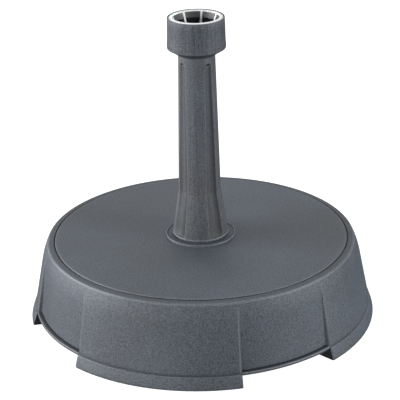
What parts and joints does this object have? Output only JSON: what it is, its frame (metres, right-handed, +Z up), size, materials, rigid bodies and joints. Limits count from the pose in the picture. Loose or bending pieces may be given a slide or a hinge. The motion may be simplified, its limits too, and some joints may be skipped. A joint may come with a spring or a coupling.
{
  "type": "parasol base",
  "caption": "Round concrete-filled plastic parasol base with raised panels and hand holds, a fluted pole tube and a screw collar with a white collet.",
  "frame": {"origin": "centre of the drum on the ground, on the tube's axis", "axes": "+Z up along the pole tube, -Y towards the middle of one raised panel"},
  "size_m": [0.4992, 0.4992, 0.4405],
  "materials": {
    "drum_plastic": "satin",
    "tube_plastic": "satin",
    "collar_plastic": "satin",
    "black_plastic": "matte",
    "white_nylon": "satin",
    "grip_rubber": "matte",
    "foot_rubber": "matte",
    "concrete": "matte",
    "zinc_steel": "satin"
  },
  "bodies": {
    "base": {"cover_shell": "drum_plastic", "bottom_pan": "drum_plastic", "tube_rosette": "tube_plastic", "pole_tube": "tube_plastic", "pole_stop": "black_plastic", "lock_nut": "black_plastic", "lock_washer": "zinc_steel", "pan_screws": "zinc_steel", "foot_pads": "foot_rubber", "ballast_block": "concrete"},
    "collet": {"collet": "white_nylon", "grip_pads": "grip_rubber"},
    "collar": {"clamp_collar": "collar_plastic"}
  },
  "joints": [
    {"name": "collet_rise", "type": "slide", "parent": "base", "child": "collet", "axis": [0, 0, 1], "range_m": [0, 0.009]},
    {"name": "collar_turn", "type": "hinge", "parent": "collet", "child": "collar", "pos_m": [0, 0, 0.414], "axis": [0, 0, 1], "range_deg": [0, 540]}
  ],
  "couplings": [
    {"joint": "collet_rise", "follows": "collar_turn", "m_per_rad": 0.0009549}
  ]
}
